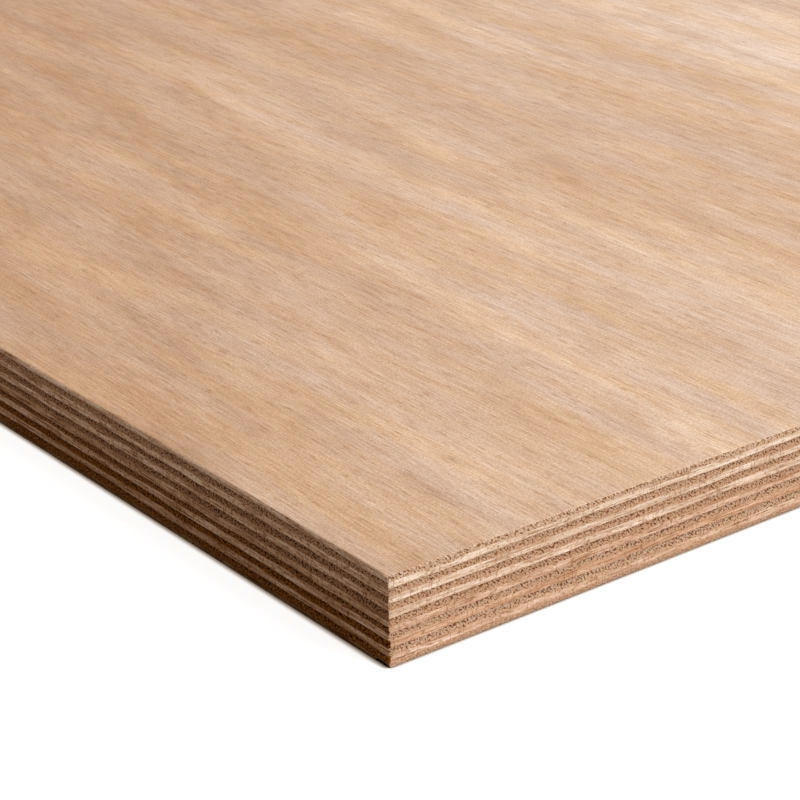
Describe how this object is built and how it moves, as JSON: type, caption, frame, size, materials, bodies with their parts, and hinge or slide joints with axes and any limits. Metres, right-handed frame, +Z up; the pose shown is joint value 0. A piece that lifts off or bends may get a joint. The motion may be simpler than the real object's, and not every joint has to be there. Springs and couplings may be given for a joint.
{
  "type": "plywood sheet",
  "caption": "Full rectangular sheet of hardwood plywood: thin peeled veneers glued crosswise, sanded faces and square sawn edges, for floors, furniture, shelves and panels.",
  "frame": {"origin": "middle of the sheet's underside, the face of the back veneer that lies on the floor", "axes": "+X along the sheet's length, which is the way the fibres of the face veneer run; +Z up through the thickness, out of the good face"},
  "size_m": [2.44, 1.22, 0.018],
  "materials": {
    "face_veneer": "sanded, unsealed",
    "crossband_veneer": "sawn edge, unsealed",
    "core_veneer": "sawn edge, unsealed"
  },
  "bodies": {
    "root": {"face_veneer": "face_veneer", "crossband_1": "crossband_veneer", "core_1": "core_veneer", "crossband_2": "crossband_veneer", "core_2": "core_veneer", "crossband_3": "crossband_veneer", "core_3": "core_veneer", "crossband_4": "crossband_veneer", "core_4": "core_veneer", "crossband_5": "crossband_veneer", "core_5": "core_veneer", "crossband_6": "crossband_veneer", "back_veneer": "face_veneer"}
  },
  "joints": []
}
